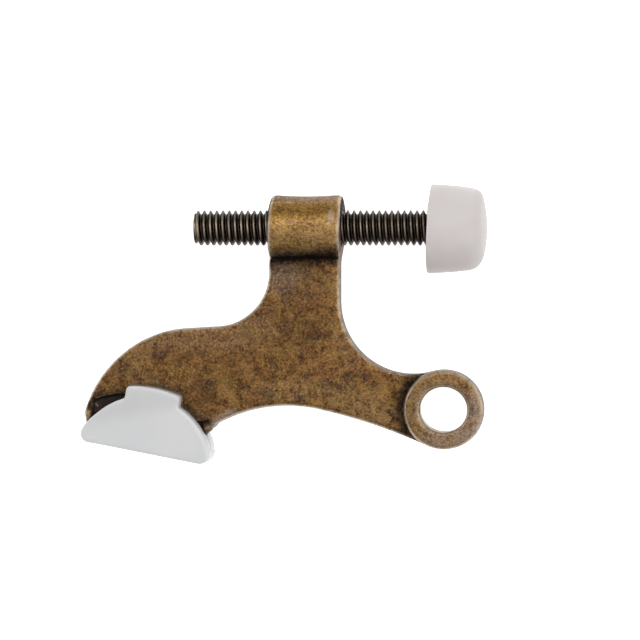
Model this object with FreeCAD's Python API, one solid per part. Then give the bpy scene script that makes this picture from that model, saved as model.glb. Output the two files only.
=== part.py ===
import FreeCAD, Part
import math
import os

# Hinge pin door stop, in millimetres.
# The eye drops over a door hinge's pin, whose axis is Z. The threaded rod runs along X through the
# barrel and carries a rubber tip for the door. The foot of the arm wears a fixed pad for the casing.
# The origin is the middle of the eye, and Z = 0 is the parting plane of the casting.

V = FreeCAD.Vector

# Eye
eye_radius = 8.9
eye_thickness = 7.4
pin_bore_radius = 5.15
pin_bore_chamfer = 0.35

# Plate of the arm
plate_thickness = 5.2
wall_draft = 3.0
edge_round = 0.45
crease_round = 0.7

# Neck and barrel
neck_offset = 31.3
neck_width = 15.95
rod_height = 40.57
barrel_radius = 7.35
barrel_length = 16.7
barrel_setover = 0.3
barrel_edge_round = 0.8
tapped_mouth_chamfer = 0.7

# Sweeps beside the neck
sweep_to_eye = 16.3
sweep_to_back = 12.2

# Back of the arm
hollow_height = 18.45
crown_drop = 0.4
crown_setback = 5.77
crown_radius = 22.16
back_radius = 26.9
back_start_angle = 112.0

# Arch under the arm
arch_height = 0.69
arch_setback = 3.84
arch_radius = 33.25
run_radius = 126.0

# Foot, in a frame of its own: U along the pad's flat face, V up into the arm
foot_turn = 10.8
foot_setback = 11.6
foot_drop = 1.55
foot_left_v = 6.3
foot_right_v = 8.4
foot_bottom_v = 3.4
foot_flare = 19.0
foot_corner_round = 1.2
tongue_thickness = 3.0
rib_thickness = 4.3
rib_width = 1.8
shoulder_offset = 1.4
shoulder_rise = 12.6
shoulder_radius = 25.0
shoulder_ledge_v = 9.4
shoulder_slope = 25.0
pocket_start_u = 9.3

# Fixed pad
pad_offset = 0.15
pad_depth = 12.0
pad_corner_round = 2.1
pad_edge_round = 0.7
cheek_radius = 15.42
cheek_rise = 12.82
tab_setover = 0.4
tab_half_width = 6.2
tab_rise = 2.02
tab_crown_radius = 26.9
tab_corner_round = 0.9
tab_root_round = 0.35
gate_stub_radius = 0.45
gate_stub_length = 0.5
gate_stub_v = 2.9
gate_stub_z = -3.2

# Adjusting rod: 5/16 inch
inch = 25.4
rod_diameter = inch * 5 / 16
rod_length = 60.0
rod_chamfer = 0.6
head_radius = 5.6
head_thickness = 1.6
head_edge_round = 0.35

# Rubber tip
tip_stand_off = 19.1
tip_length = 13.1
tip_back_radius = 9.8
tip_belly_radius = 9.4
tip_belly_share = 0.6
tip_front_radius = 8.55
tip_face_crown = 0.75
tip_front_round = 1.8
tip_back_round = 0.35
tip_mouth_chamfer = 0.4
tip_nose = 5.8

# Clearances
thread_clearance = 0.05
turning_clearance = 0.08
slot_clearance = 0.08
cheek_clearance = 0.12
tab_clearance = 0.08

# Facets that stand for a quarter round, and how far a cutter runs past what it cuts
round_facets = 2
cut_reach = 10.0

# Sizes that follow from the ones above
plate_half = plate_thickness / 2
eye_half = eye_thickness / 2
tongue_half = tongue_thickness / 2
rib_half = rib_thickness / 2
draft_slope = math.tan(math.radians(wall_draft))
neck_left_x = -neck_offset - neck_width / 2
neck_right_x = -neck_offset + neck_width / 2
barrel_left_x = barrel_setover - neck_offset - barrel_length / 2
barrel_right_x = barrel_left_x + barrel_length
rod_radius = rod_diameter / 2
tapped_radius = rod_radius + thread_clearance
tip_back_x = barrel_right_x + tip_stand_off
tip_front_x = tip_back_x + tip_length
rod_right_x = tip_front_x - tip_nose
rod_left_x = rod_right_x - rod_length
head_left_x = rod_right_x - head_thickness
cheek_centre_v = cheek_rise - cheek_radius
tab_top_v = cheek_rise + tab_rise
shoulder_centre_v = shoulder_rise - shoulder_radius


def polar(centre, radius, degrees):
    """The point at this angle on a circle."""
    turn = math.radians(degrees)
    return centre + V(radius * math.cos(turn), radius * math.sin(turn), 0)


def towards(start, aim, distance):
    """The point at this distance from the start, on the way to the aim or past it."""
    return start + (aim - start).normalize() * distance


def angle_of(vector):
    """The direction of a plane vector, in degrees."""
    return math.degrees(math.atan2(vector.y, vector.x))


def line(first, last):
    return Part.LineSegment(first, last).toShape()


def arc(centre, first, last):
    """Arc about a centre from one point to another, the short way round."""
    radius = (first - centre).Length
    start = angle_of(first - centre)
    turn = (angle_of(last - centre) - start + 180) % 360 - 180
    return Part.Arc(first, polar(centre, radius, start + turn / 2), last).toShape()


def centre_at(first, first_reach, second, second_reach, side):
    """The point at these distances from two centres, on this side of the line between them."""
    between = second - first
    along = (first_reach ** 2 - second_reach ** 2 + between.Length ** 2) / (2 * between.Length)
    across = side * math.sqrt(first_reach ** 2 - along ** 2)
    forward = V(between).normalize()
    return first + forward * along + V(-forward.y, forward.x, 0) * across


def cross_tangent(lower, lower_radius, upper, upper_radius):
    """Touch points of the line that passes between two circles, left of the lower one's way to the upper."""
    between = upper - lower
    lean = math.degrees(math.acos((lower_radius + upper_radius) / between.Length))
    normal = angle_of(between) + lean
    return polar(lower, lower_radius, normal), polar(upper, upper_radius, normal + 180)


def last_crossing(start, aim, centre, radius):
    """Where the straight line from the start through the aim last crosses a circle."""
    way = (aim - start).normalize()
    along = (centre - start).dot(way)
    offset = (centre - start - way * along).Length
    return start + way * (along + math.sqrt(radius ** 2 - offset ** 2))


def rounded_corner(before, corner, after, radius):
    """Touch points and centre of a round on a corner between two straight lines."""
    half = (before - corner).getAngle(after - corner) / 2
    reach = radius / math.tan(half)
    start = towards(corner, before, reach)
    end = towards(corner, after, reach)
    return start, end, towards(corner, (start + end) * 0.5, radius / math.sin(half))


def quarter_round(radius):
    """Steps of a faceted quarter round: how far in, and how far up, from where it starts."""
    steps = []
    for facet in range(round_facets + 1):
        turn = math.radians(90 * facet / round_facets)
        steps.append((radius * (1 - math.cos(turn)), radius * math.sin(turn)))
    return steps


def wall_steps(half_height, slope, radius):
    """Inset and height up one wall from the parting plane: the taper, then the rounded edge."""
    straight = half_height - radius
    return [(0, 0)] + [(straight * slope + inset, straight + rise) for inset, rise in quarter_round(radius)]


def stacked(outline, steps):
    """Solid through copies of an outline, each drawn in and lifted by its step."""
    layers = []
    for inset, height in steps:
        layer = outline.makeOffset2D(-inset) if inset else outline.copy()
        layer.translate(V(0, 0, height))
        layers.append(layer)
    return Part.makeLoft(layers, True, True)


def both_sides(shape):
    """A shape above the parting plane and its mirror image below."""
    return [shape, shape.mirror(V(0, 0, 0), V(0, 0, 1))]


def turned(points, centre, axis):
    """A solid turned about an axis from the corners of half its section."""
    face = Part.Face(Part.makePolygon(points + points[:1]))
    return face.revolve(centre, axis, 360)


def turned_on_rod(lengths_and_radii):
    """A solid turned about the rod's axis, from places along it and radii."""
    points = [V(x, rod_height + radius, 0) for x, radius in lengths_and_radii]
    return turned(points, V(0, rod_height, 0), V(1, 0, 0))


# The circles that the arm's outline is made of, and the frame of its foot
neck_hollow = V(neck_left_x - sweep_to_back, hollow_height + sweep_to_back, 0)
crown = V(neck_hollow.x - crown_setback, hollow_height - crown_drop - crown_radius, 0)
back_start = polar(crown, crown_radius, back_start_angle)
back = polar(back_start, -back_radius, back_start_angle)
arch = V(-neck_offset - arch_setback, arch_height - arch_radius, 0)
foot_rotation = FreeCAD.Rotation(V(0, 0, 1), -foot_turn)
foot_frame = FreeCAD.Placement(back + V(-foot_setback, -foot_drop, 0), foot_rotation)


def foot_point(u, v):
    """A point of the foot's frame, in the part's frame."""
    return foot_frame.multVec(V(u, v, 0))


def foot_corners():
    """The foot's four corners: left and right where its sides start, and left and right at its bottom."""
    left = last_crossing(foot_point(0, foot_left_v), foot_point(-1, foot_left_v), back, back_radius)
    right = last_crossing(foot_point(0, foot_right_v), foot_point(-1, foot_right_v), arch, arch_radius)
    across = foot_point(1, 0) - foot_point(0, 0)
    up = foot_point(0, 1) - foot_point(0, 0)
    lean = math.tan(math.radians(foot_flare))
    left_drop = foot_left_v - foot_bottom_v
    right_drop = foot_right_v - foot_bottom_v
    bottom_left = left + (across * lean - up) * left_drop
    bottom_right = right - (across * lean + up) * right_drop
    return left, right, bottom_left, bottom_right


def arm_outline():
    """The arm's outline on the parting plane: neck, eye, arch, foot, back and neck again."""
    eye = V(0, 0, 0)
    top_right = V(neck_right_x, rod_height, 0)
    top_left = V(neck_left_x, rod_height, 0)

    sweep_x = neck_right_x + sweep_to_eye
    sweep = V(sweep_x, math.sqrt((eye_radius + sweep_to_eye) ** 2 - sweep_x ** 2), 0)
    sweep_start = V(neck_right_x, sweep.y, 0)
    sweep_end = towards(eye, sweep, eye_radius)

    run = centre_at(arch, run_radius - arch_radius, eye, run_radius + eye_radius, -1)
    eye_leave = towards(eye, run, eye_radius)
    eye_far = polar(eye, eye_radius, (angle_of(sweep_end) + angle_of(eye_leave)) / 2)
    arch_start = towards(run, arch, run_radius)

    left, right, bottom_left, bottom_right = foot_corners()
    right_in, right_out, right_centre = rounded_corner(right, bottom_right, bottom_left, foot_corner_round)
    left_in, left_out, left_centre = rounded_corner(bottom_right, bottom_left, left, foot_corner_round)

    crown_start, hollow_end = cross_tangent(crown, crown_radius, neck_hollow, sweep_to_back)
    hollow_start = V(neck_left_x, neck_hollow.y, 0)

    return Part.Wire([
        line(top_right, sweep_start),
        arc(sweep, sweep_start, sweep_end),
        Part.Arc(sweep_end, eye_far, eye_leave).toShape(),
        arc(run, eye_leave, arch_start),
        arc(arch, arch_start, right),
        line(right, right_in),
        arc(right_centre, right_in, right_out),
        line(right_out, left_in),
        arc(left_centre, left_in, left_out),
        line(left_out, left),
        arc(back, left, back_start),
        arc(crown, back_start, crown_start),
        line(crown_start, hollow_end),
        arc(neck_hollow, hollow_end, hollow_start),
        line(hollow_start, top_left),
        line(top_left, top_right),
    ])


def eye_section():
    """Half the section of the eye's boss, from the axis out to its tapered wall."""
    steps = wall_steps(eye_half, draft_slope, edge_round)
    wall = [V(eye_radius - inset, 0, height) for inset, height in steps]
    below = [V(p.x, 0, -p.z) for p in reversed(wall[1:])]
    return [V(0, 0, -eye_half)] + below + wall + [V(0, 0, eye_half)]


def eye_crease():
    """Skirt between the plate's face and the eye, only where there is plate under it."""
    low = plate_half - edge_round
    wall = eye_radius - plate_half * draft_slope
    crease_top = plate_half + crease_round
    skirt = [V(wall + inset, 0, crease_top - rise) for inset, rise in quarter_round(crease_round)]
    points = [V(pin_bore_radius, 0, low), V(wall + crease_round, 0, low)] + skirt[::-1]
    points.append(V(pin_bore_radius, 0, crease_top))
    ring = turned(points, V(0, 0, 0), V(0, 0, 1))
    return ring.common(stacked(arm_outline().makeOffset2D(-edge_round), [(0, 0), (0, cut_reach)]))


def barrel():
    """The boss that the rod is threaded through."""
    steps = quarter_round(barrel_edge_round)
    shoulder = barrel_radius - barrel_edge_round
    left = [(barrel_left_x + inset, shoulder + rise) for inset, rise in steps]
    right = [(barrel_right_x - inset, shoulder + rise) for inset, rise in reversed(steps)]
    return turned_on_rod([(barrel_left_x, 0)] + left + right + [(barrel_right_x, 0)])


def barrel_crease():
    """Strip between the plate's face and the barrel, as long as the neck is wide."""
    reach = math.sqrt((barrel_radius + crease_round) ** 2 - (plate_half + crease_round) ** 2)
    axis = V(0, rod_height, 0)
    centre = V(0, rod_height - reach, plate_half + crease_round)
    on_plate = centre - V(0, 0, crease_round)
    on_barrel = towards(centre, axis, crease_round)
    middle = towards(centre, (on_plate + on_barrel) * 0.5, crease_round)
    below = on_plate - V(0, 0, edge_round)
    section = [
        line(below, on_plate),
        Part.Arc(on_plate, middle, on_barrel).toShape(),
        line(on_barrel, axis),
        line(axis, below),
    ]
    strip = Part.Face(Part.Wire(section)).extrude(V(neck_width - 2 * edge_round, 0, 0))
    strip.translate(V(neck_left_x + edge_round, 0, 0))
    return strip


def tab_outline(margin):
    """Outline of the pad's tab down to its root in the cheek, grown by a margin."""
    side = tab_half_width + margin
    corner = tab_corner_round + margin
    crown_radius_here = tab_crown_radius + margin
    crown_centre = V(0, tab_top_v - tab_crown_radius, 0)
    reach = crown_radius_here - corner
    corner_centre = crown_centre + V(side - corner, math.sqrt(reach ** 2 - (side - corner) ** 2), 0)
    right_low = V(side, 0, 0)
    right_high = V(side, corner_centre.y, 0)
    right_end = towards(crown_centre, corner_centre, crown_radius_here)
    left_low, left_high, left_end, left_centre = [V(-p.x, p.y, 0) for p in
                                                  (right_low, right_high, right_end, corner_centre)]
    return Part.Wire([
        line(left_low, right_low),
        line(right_low, right_high),
        arc(corner_centre, right_high, right_end),
        arc(crown_centre, right_end, left_end),
        arc(left_centre, left_end, left_high),
        line(left_high, left_low),
    ])


def foot_recess():
    """What comes off each face of the foot: down to the ribs, and down to the tongue for cheek and tab."""
    left, right = [foot_frame.inverse().multVec(p).x for p in foot_corners()[:2]]
    rib_left = left + rib_width
    rib_right = right - rib_width
    growth = cut_reach * math.tan(math.radians(shoulder_slope))

    def shoulder(floor):
        return Part.makeCone(shoulder_radius, shoulder_radius + growth, cut_reach,
                             V(-shoulder_offset, shoulder_centre_v, floor))

    def band(first_u, last_u, top_v, floor):
        return Part.makeBox(last_u - first_u, top_v + cut_reach, cut_reach, V(first_u, -cut_reach, floor))

    cheek_centre = V(-pad_offset, cheek_centre_v, tongue_half)
    cheek = Part.makeCylinder(cheek_radius + cheek_clearance, cut_reach, cheek_centre)
    tab = Part.Face(tab_outline(tab_clearance)).extrude(V(0, 0, cut_reach))
    tab.translate(V(-pad_offset - tab_setover, 0, tongue_half))
    above_all = tab_top_v + cut_reach
    upper = [
        shoulder(rib_half).common(band(left - cut_reach, 0, above_all, rib_half)),
        shoulder(tongue_half).common(band(rib_left, 0, above_all, tongue_half)),
        band(left - cut_reach, right + cut_reach, shoulder_ledge_v, rib_half),
        band(pocket_start_u, rib_right, shoulder_ledge_v, tongue_half),
        cheek,
        tab,
    ]
    cutters = [c for cutter in upper for c in both_sides(cutter)]
    for cutter in cutters:
        cutter.Placement = foot_frame.multiply(cutter.Placement)
    return cutters


def pin_bore():
    """The hinge pin's bore and its chamfered mouths."""
    reach = eye_half + cut_reach
    mouth_height = eye_half - pin_bore_chamfer
    mouth = Part.makeCone(pin_bore_radius, pin_bore_radius + cut_reach, cut_reach, V(0, 0, mouth_height))
    return [Part.makeCylinder(pin_bore_radius, 2 * reach, V(0, 0, -reach))] + both_sides(mouth)


def tapped_hole():
    """The barrel's hole, open to the thread's full diameter, with a lead-in at each end."""
    wide = tapped_radius + tapped_mouth_chamfer
    return turned_on_rod([
        (barrel_left_x, 0),
        (barrel_left_x, wide),
        (barrel_left_x + tapped_mouth_chamfer, tapped_radius),
        (barrel_right_x - tapped_mouth_chamfer, tapped_radius),
        (barrel_right_x, wide),
        (barrel_right_x, 0),
    ])


def arm_casting():
    """The one-piece casting: eye, plate, neck, barrel and foot."""
    half_plate = stacked(arm_outline(), wall_steps(plate_half, draft_slope, edge_round))
    boss = turned(eye_section(), V(0, 0, 0), V(0, 0, 1))
    creases = both_sides(eye_crease()) + both_sides(barrel_crease())
    body = half_plate.fuse([both_sides(half_plate)[1], boss, barrel()] + creases)
    return body.cut(foot_recess() + pin_bore() + [tapped_hole()]).removeSplitter()


def pad_half(tab_shift):
    """The right half of the pad's outline, and where it meets the tab's crown; the left half is built mirrored."""
    centre = V(0, cheek_centre_v, 0)
    low_reach = cheek_radius - pad_corner_round
    low_centre = V(math.sqrt(low_reach ** 2 - (pad_corner_round - cheek_centre_v) ** 2), pad_corner_round, 0)
    low_start = V(low_centre.x, 0, 0)
    low_end = towards(centre, low_centre, cheek_radius)
    tab_side = tab_half_width + tab_shift
    root_side = tab_side + tab_root_round
    root_rise = math.sqrt((cheek_radius + tab_root_round) ** 2 - root_side ** 2)
    root_centre = centre + V(root_side, root_rise, 0)
    root_start = towards(centre, root_centre, cheek_radius)
    root_end = V(tab_side, root_centre.y, 0)
    crown_centre = V(tab_shift, tab_top_v - tab_crown_radius, 0)
    inset = tab_half_width - tab_corner_round
    corner_rise = math.sqrt((tab_crown_radius - tab_corner_round) ** 2 - inset ** 2)
    corner_centre = crown_centre + V(inset, corner_rise, 0)
    corner_start = V(tab_side, corner_centre.y, 0)
    corner_end = towards(crown_centre, corner_centre, tab_crown_radius)
    flank = [
        line(V(0, 0, 0), low_start),
        arc(low_centre, low_start, low_end),
        arc(centre, low_end, root_start),
        arc(root_centre, root_start, root_end),
        line(root_end, corner_start),
        arc(corner_centre, corner_start, corner_end),
    ]
    return flank, crown_centre, corner_end


def pad_outline():
    """The pad's face: a half-moon cheek on a flat base, with a tab that reaches up the arm."""
    right, crown_centre, right_end = pad_half(-tab_setover)
    left, _, mirrored_end = pad_half(tab_setover)
    left = [edge.mirror(V(0, 0, 0), V(1, 0, 0)) for edge in left]
    crown_arc = arc(crown_centre, right_end, V(-mirrored_end.x, mirrored_end.y, 0))
    return Part.Wire(Part.__sortEdges__([crown_arc] + right + left))


def bumper_pad():
    """The fixed pad: two cheeks with tabs on a thick base, slipped over the foot's tongue."""
    upper = stacked(pad_outline(), wall_steps(pad_depth / 2, 0, pad_edge_round))
    stub_u = math.sqrt(cheek_radius ** 2 - (gate_stub_v - cheek_centre_v) ** 2)
    stub_root = V(stub_u - gate_stub_length, gate_stub_v, gate_stub_z)
    stub = Part.makeCone(gate_stub_radius, gate_stub_radius / 2, 2 * gate_stub_length, stub_root, V(1, 0, 0))
    slot_half = tongue_half + slot_clearance
    slot_floor = foot_bottom_v - slot_clearance
    wide = cheek_radius + cut_reach
    slot = Part.makeBox(2 * wide, tab_top_v + cut_reach, 2 * slot_half, V(-wide, slot_floor, -slot_half))
    pad = upper.fuse([both_sides(upper)[1], stub]).cut(slot).removeSplitter()
    pad.translate(V(-pad_offset, 0, 0))
    pad.Placement = foot_frame.multiply(pad.Placement)
    return pad


def adjusting_rod():
    """The rod to its full thread diameter, with the flat head that holds the tip."""
    steps = quarter_round(head_edge_round)
    shoulder = head_radius - head_edge_round
    head_back = [(head_left_x + inset, shoulder + rise) for inset, rise in steps]
    head_front = [(rod_right_x - inset, shoulder + rise) for inset, rise in reversed(steps)]
    return turned_on_rod([
        (rod_left_x, 0),
        (rod_left_x, rod_radius - rod_chamfer),
        (rod_left_x + rod_chamfer, rod_radius),
        (head_left_x, rod_radius),
    ] + head_back + head_front + [(rod_right_x, 0)])


def rubber_tip():
    """The soft cap: a tapered, slightly domed plug with a socket for the rod and its head."""
    rim_x = tip_front_x - tip_face_crown
    back = [(tip_back_x + inset, tip_back_radius - tip_back_round + rise)
            for inset, rise in quarter_round(tip_back_round)]
    front = [(rim_x - inset, tip_front_radius - tip_front_round + rise)
             for inset, rise in reversed(quarter_round(tip_front_round))]
    belly_x = tip_back_x + tip_length * tip_belly_share
    cap = turned_on_rod([(tip_back_x, 0)] + back + [(belly_x, tip_belly_radius)] + front + [(tip_front_x, 0)])

    socket_radius = rod_radius + turning_clearance
    pocket_radius = head_radius + turning_clearance
    pocket_left = head_left_x - turning_clearance
    pocket_right = rod_right_x + turning_clearance
    cavity = turned_on_rod([
        (tip_back_x, 0),
        (tip_back_x, socket_radius + tip_mouth_chamfer),
        (tip_back_x + tip_mouth_chamfer, socket_radius),
        (pocket_left, socket_radius),
        (pocket_left, pocket_radius),
        (pocket_right, pocket_radius),
        (pocket_right, 0),
    ])
    return cap.cut(cavity)


def main():
    os.makedirs("parts", exist_ok=True)
    for make in (arm_casting, bumper_pad, adjusting_rod, rubber_tip):
        shape = make()
        print(make.__name__, len(shape.Solids), "solid,", "valid," if shape.isValid() else "NOT VALID,",
              round(shape.Volume, 2), "cubic mm")
        shape.Solids[0].exportStep("parts/" + make.__name__ + ".step")


main()
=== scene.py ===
import math

import bpy
import bmesh
import numpy as np
from mathutils import Matrix, Vector


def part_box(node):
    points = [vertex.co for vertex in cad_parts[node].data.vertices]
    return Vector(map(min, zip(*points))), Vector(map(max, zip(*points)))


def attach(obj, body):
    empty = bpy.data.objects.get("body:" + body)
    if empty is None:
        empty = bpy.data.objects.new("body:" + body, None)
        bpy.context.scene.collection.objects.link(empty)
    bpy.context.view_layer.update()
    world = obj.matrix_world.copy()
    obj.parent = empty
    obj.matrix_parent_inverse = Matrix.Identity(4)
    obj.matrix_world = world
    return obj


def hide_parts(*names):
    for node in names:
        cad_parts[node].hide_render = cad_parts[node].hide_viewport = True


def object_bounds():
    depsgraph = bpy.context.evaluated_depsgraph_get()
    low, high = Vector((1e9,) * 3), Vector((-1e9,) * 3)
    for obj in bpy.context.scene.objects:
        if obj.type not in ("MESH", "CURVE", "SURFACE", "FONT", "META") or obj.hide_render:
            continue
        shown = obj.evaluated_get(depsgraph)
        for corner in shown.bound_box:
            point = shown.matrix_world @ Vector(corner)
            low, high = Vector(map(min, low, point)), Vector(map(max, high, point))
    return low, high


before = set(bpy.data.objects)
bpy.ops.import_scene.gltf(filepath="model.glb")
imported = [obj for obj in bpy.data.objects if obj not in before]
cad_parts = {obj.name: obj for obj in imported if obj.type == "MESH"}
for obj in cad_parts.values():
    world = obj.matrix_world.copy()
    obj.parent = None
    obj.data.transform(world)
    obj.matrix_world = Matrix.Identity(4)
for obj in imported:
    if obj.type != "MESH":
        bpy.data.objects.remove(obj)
cad_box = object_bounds()

# Hinge pin door stop, dressed round its frame. Lengths are in millimetres, unless a comment says metres,
# and MM turns them into metres.
MM = 0.001

# Camera: where it stands, what it looks at and how wide it sees there
CAMERA_PLACE = (52.0, 37.0, 744.0)
CAMERA_AIM = (-28.0, 19.9, 0.0)
VIEW_WIDTH = 143.7
SENSOR_WIDTH = 36.0

# Studio: the world's light, the floor's half width in metres and its glow, and where the softboxes point.
# A softbox has its place, width and height in metres, and its power in watts.
WORLD_LIGHT = 0.56
FLOOR_REACH = 3.0
FLOOR_GLOW = 0.75
LIGHT_AIM = (-30.0, 20.0, 0.0)
SOFTBOXES = (
    ("overhead softbox", (-0.03, 0.34, 0.79), 0.50, 0.26, 1.7),
    ("front softbox", (0.36, -0.06, 0.84), 0.36, 0.36, 1.5),
    ("right softbox", (0.75, 0.16, 0.55), 0.35, 0.50, 1.2),
    ("left softbox", (-0.85, 0.25, 0.40), 0.30, 0.50, 1.0),
)

# Height of the rod's axis above the eye's centre
AXIS_HEIGHT = 40.57

# Thread of the adjusting rod: 5/16 inch, 18 to the inch. The root and flank are shares of half a pitch.
INCH = 25.4
THREAD_RADIUS = INCH * 5 / 16 / 2
THREAD_PITCH = INCH / 18
THREAD_DEPTH = 0.87
ROOT_SHARE = 0.19
FLANK_SHARE = 0.62
CREST_PLACE = -54.144

# The rod's chamfered ends, its flat head inside the tip, and how finely it is divided
END_RADIUS = 3.35
CHAMFER_LENGTH = 0.85
CHAMFER_SLOPE = 0.8
CHAMFER_WEAR = 0.85
HEAD_THICKNESS = 1.6
ROD_SIDES = 48
ROWS_TO_A_TURN = 16

# Rubber tip: the pocket round the rod's head, the socket for its shank, and the mouth's bevel
HEAD_PLAY = 0.08
POCKET_RADIUS = 5.68
SOCKET_RADIUS = 4.05
MOUTH_BEVEL = 0.4

# The tip's outside: radii on its flat back, its side as distance from the back and radius, and its crown.
# A round is its reach along both lines and its number of steps.
BACK_RADII = (6.0, 8.0)
SIDE = ((0.0, 9.8), (3.2, 9.72), (6.6, 9.48), (9.3, 9.18))
CROWN_HEIGHT = 1.35
CROWN_RADII = (8.62, 6.7, 5.2, 3.9, 2.6, 1.3, 0.0)
BACK_ROUND = (0.3, 4)
FRONT_ROUND = (1.9, 8)
TIP_SIDES = 96

# How the tip sits on the rod: its lean in degrees at the back and front, and how far its lower half sags
BACK_LEAN = 2.9
FRONT_LEAN = 1.9
TIP_SAG = 0.36

# Skins of the casting and the pad: how fine they are, and how many rounds soften their edges
ARM_VOXEL = 0.272
ARM_SOFTENING = 4
PAD_VOXEL = 0.24
PAD_SOFTENING = 5

# Where the casting departs from its CAD shape: its walls and the hollow by the pad's right end are fuller,
# the barrel's top dips in the middle, and the bore is oval with its far rim standing in at the left
WALL_GAIN = 0.085
HOLLOW = (-52.2, -4.7)
HOLLOW_GAIN = 0.42
BARREL_MIDDLE = -31.0
BARREL_HALF_LENGTH = 6.5
BARREL_DIP = 0.24
BORE_RADIUS = 5.15
BORE_STRETCH = 0.20
FAR_RIM_INSET = 0.28

# The pad's own frame: cosine and sine of its turn, its middle, and the centre of its round back
PAD_TURN = (0.9823, 0.1874)
PAD_MIDDLE = (64.0, 22.45)
PAD_ARC_CENTRE = (0.15, -2.6)

# How far the pad's cheeks are moved at its right and left ends, and how wide its closed slot stays
FAR_CHEEK_GAIN = (0.22, 0.20)
NEAR_CHEEK_LOSS = 0.50
CLOSED_SLOT = 0.12

# Landmarks on the casting's skin: where the barrel and the eye's raised ring begin, the height of the ring's
# face, and the sunken and raised parts of the foot with the ends of the span that the pad covers
BARREL_START = (34.0, 35.4)
EYE_EDGE = (8.85, 9.15)
EYE_FACE = (3.2, 3.5)
RECESS_FLOOR = 1.85
RIB_HEIGHTS = (2.0, 2.3)
RIB_TOP = -0.6
PAD_SPAN = (-71.2, -57.0)

# Marks on the casting. Each is x, y, half length, half width, turn in degrees and strength.
# Stains: dark blots on the arm and the eye
STAINS = (
    (-30.6, 19.2, 1.9, 1.3, 0, 0.50),
    (-28.8, 16.3, 1.7, 1.4, 80, 0.70),
    (-35.4, 24.6, 2.0, 1.2, 100, 0.60),
    (-39.0, 22.0, 2.2, 1.4, 20, 0.40),
    (-30.9, 30.0, 1.8, 1.4, 0, 0.45),
    (-36.6, 31.0, 3.6, 1.3, 0, 0.55),
    (-21.5, 7.8, 1.4, 1.0, 0, 0.50),
    (-16.0, 5.0, 1.4, 1.2, 0, 0.45),
    (-30.5, 7.5, 2.6, 1.3, 10, 0.30),
    (-57.0, -0.9, 3.0, 1.6, -30, 0.70),
    (-53.8, -2.0, 3.0, 0.9, 14, 0.60),
    (-2.9, 6.6, 1.8, 0.8, 20, 0.35),
)

# Ashen spots: worn greyish beside the pad, on the eye's right half and on the neck, and a painted reflection
# along the barrel's top
ASHEN_WEAR_AND_SHEEN_SPOTS = (
    (-49.9, -2.4, 4.4, 1.3, 34, 0.85),
    (6.9, -1.0, 5.5, 1.5, 90, 0.80),
    (4.0, -6.0, 3.0, 1.6, 45, 0.75),
    (-1.5, -7.0, 3.5, 1.4, -10, 0.60),
    (-36.0, 30.0, 5.2, 4.4, 60, 0.34),
    (-52.0, 17.0, 17.0, 4.5, 2, 0.14),
    (-31.5, 28.0, 8.5, 4.5, 0, 0.08),
    # Along the barrel's top: a painted reflection
    (-31.0, 47.4, 9.0, 1.2, 0, 0.60),
    (7.9, 0.5, 4.5, 1.1, 90, 0.50),
)

# One painted highlight on the barrel, pinkish silver, and one painted highlight across the foot's recess
BARREL_HIGHLIGHT_SPOTS = ((-24.9, 42.9, 1.9, 0.9, 82, 0.50),)
# A painted highlight across the foot's recess
RECESS_HIGHLIGHT_SPOTS = ((-78.6, 0.75, 0.75, 0.26, -51, 0.9),)

# Walls that stay as they are in the CAD shape
LEAN_WALLS = ((-57.5, 18.3, 12.0, 3.0, 4, 1.0), (-11.0, -8.5, 8.0, 2.5, -15, 1.0))

# Painted shadow spots: nearly black, in the gaps at both ends of the pad
PAD_END_SHADOW_SPOTS = (
    (-54.5, -3.7, 2.6, 1.25, 18, 0.96),
    (-75.0, 3.2, 4.4, 1.4, 6, 0.54),
    (-79.5, 1.2, 2.2, 0.9, 60, 0.82),
    (-57.2, -0.6, 2.8, 1.3, -38, 0.50),
)

# Rubbed spots: lighter brass, where the arm is handled
RUBBED_SPOTS = (
    (-17.6, 0.4, 9.0, 3.6, -18, 0.80),
    (-34.0, 4.4, 11.0, 2.6, 2, 0.62),
    (-68.5, 12.6, 8.5, 3.2, 40, 0.46),
    (-68.4, 7.0, 7.0, 2.0, -25, 0.46),
    (-22.9, 15.0, 6.0, 1.7, -66, 0.66),
)

# A yellower, darker streak along the barrel above its highlight: painted shade in its reflection
GOLDEN_SHADE_SPOTS = ((-31.0, 44.4, 12.0, 1.9, 0, 0.85),)

# Dim spots: softly darker bands along the barrel, which are painted shade, then the neck, the arm and two
# marks on the eye
DIM_AND_SHADE_SPOTS = (
    (-31.0, 47.4, 12.0, 1.3, 0, 0.52),
    (-31.0, 45.0, 12.0, 1.6, 0, 0.28),
    (-31.0, 40.8, 12.0, 0.9, 0, 0.12),
    (-37.0, 47.8, 2.2, 0.6, 0, 0.70),
    (-25.0, 47.8, 2.4, 0.6, 0, 0.70),
    (-30.8, 27.5, 8.5, 8.0, 0, 0.25),
    (-33.5, 16.4, 9.5, 5.5, 10, 0.27),
    (-47.5, 7.4, 8.0, 4.5, 0, 0.20),
    (-55.5, 2.2, 5.0, 3.2, 20, 0.32),
    (-28.6, 31.0, 5.2, 2.6, 0, 0.27),
    (-31.6, 20.0, 4.2, 2.2, 0, 0.25),
    (-44.2, 16.3, 2.4, 2.2, 0, 0.25),
    (6.45, 0.1, 1.5, 0.50, 92, 0.60),
    (6.2, -3.2, 0.8, 0.50, 60, 0.60),
)

# The crease under the barrel: its height at a place along it and its slope, then how dark the painted shade
# is at distances below and above it
CREASE_PLACE = (-31.3, 33.95)
CREASE_SLOPE = 0.045
CREASE_SHADE = (
    (-4.2, -2.9, -1.9, -1.0, -0.40, 0.25, 0.8, 1.6, 2.6, 4.0),
    (0.00, 0.26, 0.56, 0.80, 1.00, 1.00, 0.80, 0.56, 0.34, 0.0),
)
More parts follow.
